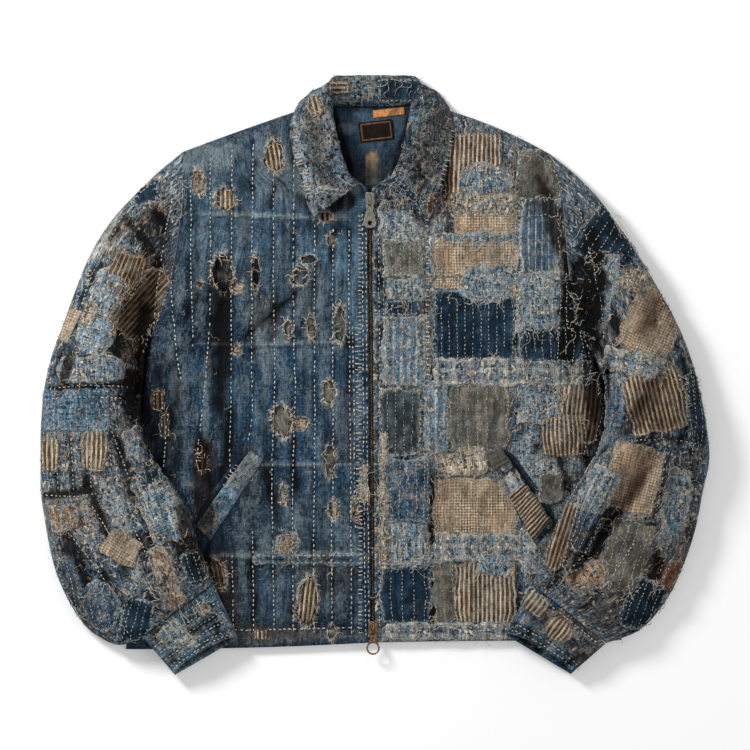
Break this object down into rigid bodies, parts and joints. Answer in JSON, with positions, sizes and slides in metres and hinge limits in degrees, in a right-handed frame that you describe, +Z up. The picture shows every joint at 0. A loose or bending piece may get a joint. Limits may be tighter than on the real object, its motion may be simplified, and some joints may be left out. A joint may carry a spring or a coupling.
{
  "type": "jacket",
  "caption": "Boxy zip-front jacket of patched, hand-stitched indigo cloth with a pointed collar, slanted welt pockets and cuffed full sleeves, laid flat on its back.",
  "frame": {"origin": "on the surface that the jacket lies on, under the middle of its bounding box", "axes": "+Y towards the collar, +X towards the wearer's left, +Z up out of the fronts"},
  "size_m": [0.8028, 0.72, 0.0699],
  "materials": {
    "indigo_cloth": "worn matt twill, hand-stitched",
    "ticking_cloth": "matt striped ticking",
    "grey_canvas": "matt canvas",
    "tan_check_cloth": "matt checked cotton",
    "lined_blue_cloth": "matt cotton with fine pale lines",
    "navy_cloth": "matt plain weave",
    "frayed_blue_cloth": "frayed loose weave",
    "pale_blue_cloth": "faded loose weave",
    "cream_cloth": "matt loose weave",
    "brown_canvas": "matt canvas",
    "worn_blue_cloth": "worn twill",
    "faded_plaid_cloth": "faded plaid cotton",
    "blue_grid_cloth": "matt cotton with a fine grid",
    "light_frayed_cloth": "frayed loose weave",
    "pocket_lining_cloth": "matt plain weave",
    "zip_tape_cloth": "woven tape",
    "label_cloth": "woven label",
    "rust_cloth": "matt cotton",
    "aged_brass": "aged, dull",
    "pewter": "dull pewter plating"
  },
  "bodies": {
    "jacket": {"back": "indigo_cloth", "collar": "indigo_cloth", "cuff_left": "indigo_cloth", "cuff_right": "indigo_cloth", "front_left": "indigo_cloth", "front_right": "indigo_cloth", "neck_label": "label_cloth", "neck_strip": "rust_cloth", "patch_front_left_brown_waist": "brown_canvas", "patch_front_left_check_chest": "tan_check_cloth", "patch_front_left_check_pocket": "tan_check_cloth", "patch_front_left_cream_band": "cream_cloth", "patch_front_left_frayed_side": "frayed_blue_cloth", "patch_front_left_grey_placket": "grey_canvas", "patch_front_left_grey_waist": "grey_canvas", "patch_front_left_grey_yoke": "grey_canvas", "patch_front_left_lined_chest": "lined_blue_cloth", "patch_front_left_navy_chest": "navy_cloth", "patch_front_left_navy_hem": "navy_cloth", "patch_front_left_navy_side": "navy_cloth", "patch_front_left_pale_placket": "pale_blue_cloth", "patch_front_left_plaid_low": "faded_plaid_cloth", "patch_front_left_stripe_hem": "ticking_cloth", "patch_front_left_stripe_side": "ticking_cloth", "patch_front_left_stripe_yoke": "ticking_cloth", "patch_front_left_worn_placket": "worn_blue_cloth", "patch_front_right_stripe_hole": "ticking_cloth", "patch_front_right_stripe_low": "ticking_cloth", "patch_front_right_worn_low": "worn_blue_cloth", "patch_sleeve_left_check_arm": "tan_check_cloth", "patch_sleeve_left_check_forearm": "tan_check_cloth", "patch_sleeve_left_navy_shoulder": "navy_cloth", "patch_sleeve_left_navy_wrist": "navy_cloth", "patch_sleeve_left_stripe_elbow": "ticking_cloth", "patch_sleeve_right_blue_elbow": "blue_grid_cloth", "patch_sleeve_right_light_forearm": "light_frayed_cloth", "patch_sleeve_right_navy_wrist": "navy_cloth", "patch_sleeve_right_stripe_arm": "ticking_cloth", "pocket_lining_left": "pocket_lining_cloth", "pocket_lining_right": "pocket_lining_cloth", "pocket_welt_left": "indigo_cloth", "pocket_welt_right": "indigo_cloth", "sleeve_left": "indigo_cloth", "sleeve_right": "indigo_cloth", "slider_bottom": "aged_brass", "slider_top": "pewter", "zip_chain": "aged_brass", "zip_tape_left": "zip_tape_cloth", "zip_tape_right": "zip_tape_cloth"},
    "top_pull": {"pull_top": "pewter"},
    "bottom_pull": {"pull_bottom": "aged_brass"}
  },
  "joints": [
    {"name": "top_pull_hinge", "type": "hinge", "parent": "jacket", "child": "top_pull", "pos_m": [-0.00622, 0.212, 0.02939], "axis": [-1, 0, 0], "range_deg": [0, 150]},
    {"name": "bottom_pull_hinge", "type": "hinge", "parent": "jacket", "child": "bottom_pull", "pos_m": [-0.00234, -0.303, 0.01506], "axis": [-1, 0, 0], "range_deg": [0, 150]}
  ]
}
